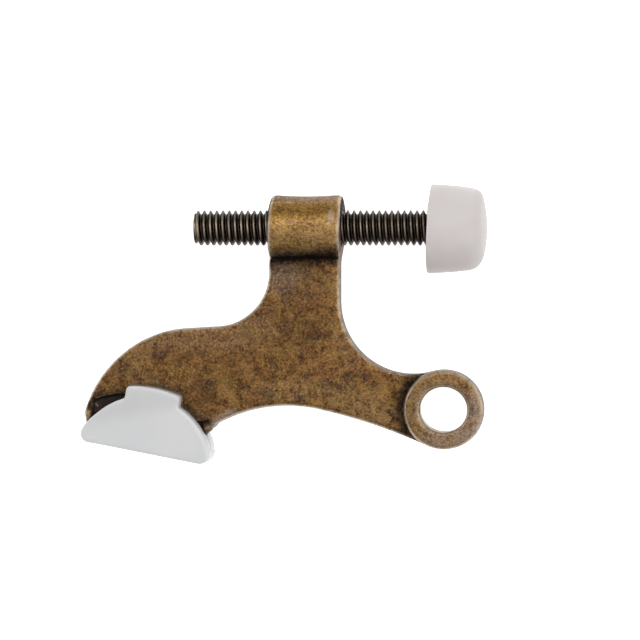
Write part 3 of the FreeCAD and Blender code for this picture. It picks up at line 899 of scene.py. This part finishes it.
class Tree(Wiring):
    """A geometry node tree with named inputs for its sizes and its finish."""

    def __init__(self, name, sizes):
        self.group = bpy.data.node_groups.new(name, "GeometryNodeTree")
        super().__init__(self.group)
        self.sizes = sizes
        self.identifiers = {}
        for title, value in sizes.items():
            kind = {int: "NodeSocketInt", float: "NodeSocketFloat"}.get(type(value), "NodeSocketMaterial")
            socket = self.group.interface.new_socket(name=title, in_out="INPUT", socket_type=kind)
            self.identifiers[title] = socket.identifier
        self.group.interface.new_socket(name="Geometry", in_out="OUTPUT", socket_type="NodeSocketGeometry")
        self.given = self.add("NodeGroupInput").outputs

    def vector(self, x, y, z):
        return self.add("ShaderNodeCombineXYZ", {"X": x, "Y": y, "Z": z}).outputs[0]

    def place(self):
        position = self.add("GeometryNodeInputPosition").outputs[0]
        return self.add("ShaderNodeSeparateXYZ", {"Vector": position}).outputs

    def moved(self, geometry, x, y, z):
        position = self.vector(x, y, z)
        return self.add("GeometryNodeSetPosition", {"Geometry": geometry, "Position": position}).outputs[0]

    def joined(self, *pieces):
        node = self.add("GeometryNodeJoinGeometry")
        for piece in pieces:
            self.links.new(piece, node.inputs[0])
        return node.outputs[0]

    def finish(self, geometry, material):
        real = self.add("GeometryNodeRealizeInstances", {"Geometry": geometry}).outputs[0]
        made = self.add("GeometryNodeSetMaterial", {"Geometry": real, "Material": material}).outputs[0]
        self.add("NodeGroupOutput", {"Geometry": made})

    def run(self, name):
        """The tree's result as a plain mesh object with no modifier."""
        obj = put_in_scene(bpy.data.objects.new(name, bpy.data.meshes.new(name)))
        modifier = obj.modifiers.new("made by rule", "NODES")
        modifier.node_group = self.group
        for title, value in self.sizes.items():
            modifier[self.identifiers[title]] = value
        return plain_mesh(obj, name)


def threaded_rod(finish):
    """A rod whose rows of points follow the thread's helix, with chamfered ends and the tip's flat head."""
    low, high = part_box("adjusting_rod")
    tree = Tree("threaded rod", {
        "Left end": float(low[0]),
        "Right end": float(high[0]),
        "Axis height": float(low[1] + high[1]) / 2,
        "Head radius": float(high[1] - low[1]) / 2,
        "Head thickness": HEAD_THICKNESS * MM,
        "Crest radius": THREAD_RADIUS * MM,
        "Thread depth": THREAD_DEPTH * MM,
        "Root share": ROOT_SHARE,
        "Flank share": FLANK_SHARE,
        "Pitch": THREAD_PITCH * MM,
        "Crest place": CREST_PLACE * MM,
        "End radius": END_RADIUS * MM,
        "Chamfer length": CHAMFER_LENGTH * MM,
        "Chamfer slope": CHAMFER_SLOPE,
        "Chamfer wear": CHAMFER_WEAR,
        "Sides": ROD_SIDES,
        "Rows to a turn": ROWS_TO_A_TURN,
        "Finish": finish,
    })
    given, calc = tree.given, tree.calc
    left, right, pitch = given["Left end"], given["Right end"], given["Pitch"]
    half_head = calc("MULTIPLY", given["Head thickness"], 0.5)
    thread_right = calc("SUBTRACT", right, half_head)

    thread = thread_skin(tree, left, thread_right, pitch)
    right_disc = end_disc(tree, thread_right)
    left_disc = tree.add("GeometryNodeFlipFaces", {"Mesh": end_disc(tree, left)}).outputs["Mesh"]
    shank = tree.joined(right_disc, left_disc, thread)
    shank = tree.add("GeometryNodeMergeByDistance", {"Geometry": shank, "Distance": 1e-6}).outputs[0]

    head = tree.add("GeometryNodeMeshCylinder", {
        "Vertices": given["Sides"], "Radius": given["Head radius"], "Depth": given["Head thickness"],
    }, fill_type="TRIANGLE_FAN").outputs["Mesh"]
    spot = tree.place()
    height = calc("ADD", spot["X"], given["Axis height"])
    head = tree.moved(head, calc("ADD", spot["Z"], thread_right), height, spot["Y"])
    whole = tree.joined(head, shank)
    smooth = tree.add("GeometryNodeSetShadeSmooth", {"Geometry": whole, "Shade Smooth": True}).outputs[0]
    tree.finish(smooth, given["Finish"])
    return tree.run("threaded_rod")


def thread_skin(tree, left, right, pitch):
    """The thread's skin from end to end: a grid wound round the axis, each row one side further along."""
    given, calc = tree.given, tree.calc
    crest_place, end_radius = given["Crest place"], given["End radius"]
    from_crest = calc("DIVIDE", calc("SUBTRACT", left, crest_place), pitch)
    turns_before = calc("FLOOR", calc("SUBTRACT", from_crest, 1.0))
    start = calc("MULTIPLY_ADD", turns_before, pitch, crest_place)
    turns = calc("CEIL", calc("ADD", calc("DIVIDE", calc("SUBTRACT", right, start), pitch), 1.0))
    grid = tree.add("GeometryNodeMeshGrid", {
        "Size X": 1.0, "Size Y": 1.0,
        "Vertices X": calc("ADD", given["Sides"], 1.0),
        "Vertices Y": calc("MULTIPLY_ADD", turns, given["Rows to a turn"], 1.0),
    }).outputs["Mesh"]

    place = tree.place()
    around = calc("ADD", place["X"], 0.5)
    lead = calc("ADD", calc("MULTIPLY", calc("ADD", place["Y"], 0.5), turns), around)
    x = calc("MULTIPLY_ADD", lead, pitch, start)
    x = calc("MINIMUM", calc("MAXIMUM", x, left), right)

    # The climb is 0 in the root and 1 on the crest
    phase = calc("SUBTRACT", calc("DIVIDE", calc("SUBTRACT", x, crest_place), pitch), around)
    share = calc("FRACT", calc("ADD", phase, 100.0))
    ridge = calc("MULTIPLY", calc("ABSOLUTE", calc("SUBTRACT", share, 0.5)), 2.0)
    climb = calc("DIVIDE", calc("SUBTRACT", ridge, given["Root share"]), given["Flank share"])
    climb = calc("MINIMUM", calc("MAXIMUM", climb, 0.0), 1.0)
    groove = calc("MULTIPLY", calc("SUBTRACT", 1.0, climb), given["Thread depth"])
    radius = calc("SUBTRACT", given["Crest radius"], groove)
    lead_in = calc("ADD", end_radius, calc("MULTIPLY", calc("SUBTRACT", x, left), given["Chamfer slope"]))
    lead_out = calc("ADD", end_radius, calc("SUBTRACT", right, x))
    radius = calc("MINIMUM", calc("MINIMUM", radius, lead_in), lead_out)

    on_chamfer = calc("LESS_THAN", x, calc("ADD", left, given["Chamfer length"]))
    worn = calc("MAXIMUM", climb, calc("MULTIPLY", on_chamfer, given["Chamfer wear"]))
    stored = tree.add("GeometryNodeStoreNamedAttribute", {"Geometry": grid, "Name": "crest", "Value": worn},
                      data_type="FLOAT", domain="POINT").outputs["Geometry"]
    angle = calc("MULTIPLY", around, 2 * math.pi)
    y = calc("MULTIPLY_ADD", calc("COSINE", angle), radius, given["Axis height"])
    return tree.moved(stored, x, y, calc("MULTIPLY", calc("SINE", angle), radius))


def end_disc(tree, at):
    """A flat disc across one end of the thread."""
    given = tree.given
    disc = tree.add("GeometryNodeMeshCircle", {"Vertices": given["Sides"], "Radius": given["End radius"]},
                    fill_type="TRIANGLE_FAN").outputs["Mesh"]
    spot = tree.place()
    return tree.moved(disc, at, tree.calc("ADD", spot["X"], given["Axis height"]), spot["Y"])


def dress_rod():
    rod = threaded_rod(dark_brass())
    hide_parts("adjusting_rod")
    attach(rod, "rod_body")


# Rubber tip

def rounded(points, corner, radius, steps):
    """Points of a round on one corner of a section."""
    before, at, after = (Vector(p) for p in (points[corner - 1], points[corner], points[corner + 1]))
    start = at + (before - at).normalized() * radius
    end = at + (after - at).normalized() * radius
    made = []
    for step in range(steps + 1):
        share = step / steps
        made.append(tuple((1 - share) ** 2 * start + 2 * share * (1 - share) * at + share ** 2 * end))
    return made


def tip_section(back, front, head_end):
    """Half of the tip's section, as places along the axis and radii, from its pocket round to its crown."""
    pocket_right, pocket_left = head_end + HEAD_PLAY, head_end - HEAD_THICKNESS - HEAD_PLAY
    inside = [
        (pocket_right, 0.0),
        (pocket_right, POCKET_RADIUS),
        (pocket_left, POCKET_RADIUS),
        (pocket_left, SOCKET_RADIUS),
        (back + MOUTH_BEVEL, SOCKET_RADIUS),
        (back, SOCKET_RADIUS + MOUTH_BEVEL),
    ]
    flat = [(back, radius) for radius in BACK_RADII]
    side = [(back + along, radius) for along, radius in SIDE]
    crown = [(front - CROWN_HEIGHT * (radius / CROWN_RADII[0]) ** 2, radius) for radius in CROWN_RADII]
    back_round = rounded([flat[-1], side[0], side[1]], 1, *BACK_ROUND)
    front_round = rounded([side[-1], crown[0], crown[1]], 1, *FRONT_ROUND)
    return inside + flat + back_round + side[1:] + front_round + crown[1:]


def lathe(name, section, axis_height, sides):
    """A closed skin turned about the rod's axis from a section that starts and ends on the axis."""
    work = bmesh.new()
    rings = []
    for along, radius in section:
        along, radius = along * MM, radius * MM
        if radius < 1e-6:
            rings.append([work.verts.new((along, axis_height, 0))])
            continue
        ring = []
        for side in range(sides):
            turn = 2 * math.pi * side / sides
            place = (along, axis_height + radius * math.cos(turn), radius * math.sin(turn))
            ring.append(work.verts.new(place))
        rings.append(ring)
    for lower, upper in zip(rings, rings[1:]):
        for side in range(sides):
            following = (side + 1) % sides
            corners = [lower[side % len(lower)], lower[following % len(lower)],
                       upper[following % len(upper)], upper[side % len(upper)]]
            work.faces.new(list(dict.fromkeys(corners)))
    bmesh.ops.recalc_face_normals(work, faces=work.faces)
    mesh = bpy.data.meshes.new(name)
    work.to_mesh(mesh)
    work.free()
    obj = put_in_scene(bpy.data.objects.new(name, mesh))
    shade_smooth(obj)
    return obj


def shape_tip(points, axis_height, back, front):
    """The tip's outside leans and its lower half sags, while its pocket stays true."""
    x, y, z = points.T
    rise = y - axis_height
    outside = smooth_step(np.hypot(rise, z), 5.8, 8.6)
    forward = (x - back) / (front - back)
    lean = np.radians(BACK_LEAN + (FRONT_LEAN - BACK_LEAN) * forward)
    lower = smooth_fall(rise, -3.0, 3.0)
    moved = points.copy()
    moved[:, 0] += (rise * np.tan(lean) + 0.20 - 0.30 * forward) * outside
    moved[:, 1] -= (0.28 * forward * (1 - lower) + TIP_SAG * lower) * outside
    return moved


def dress_tip():
    """The tip has painted shade above and below its middle and round its front edge."""
    low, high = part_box("rubber_tip")
    back, front = low[0] / MM, high[0] / MM
    head_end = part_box("adjusting_rod")[1][0] / MM
    axis_height = (low[1] + high[1]) / 2
    tip = lathe("soft_tip", tip_section(back, front, head_end), axis_height, TIP_SIDES)
    points = shape_tip(read_mesh(tip.data)[0] / MM, axis_height / MM, back, front)
    move_points(tip.data, points)
    rise = points[:, 1] - axis_height / MM
    # Painted shade above and below the middle and round the front edge
    shade = 0.09 * smooth_step(rise, 2.0, 8.0) + 0.17 * smooth_step(-rise, 1.0, 9.0)
    keep_value(tip.data, "shade", shade + 0.26 * smooth_step(points[:, 0], front - 3.4, front - 0.6))
    dress(tip, moulded_rubber("warm white rubber", WARM_WHITE, (8, 2, 6)))
    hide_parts("rubber_tip")
    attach(tip, "tip_body")


def main():
    bpy.context.scene.view_settings.view_transform = "Standard"
    set_camera()
    set_lights()
    add_floor()
    dress_arm()
    dress_pad()
    dress_rod()
    dress_tip()


main()
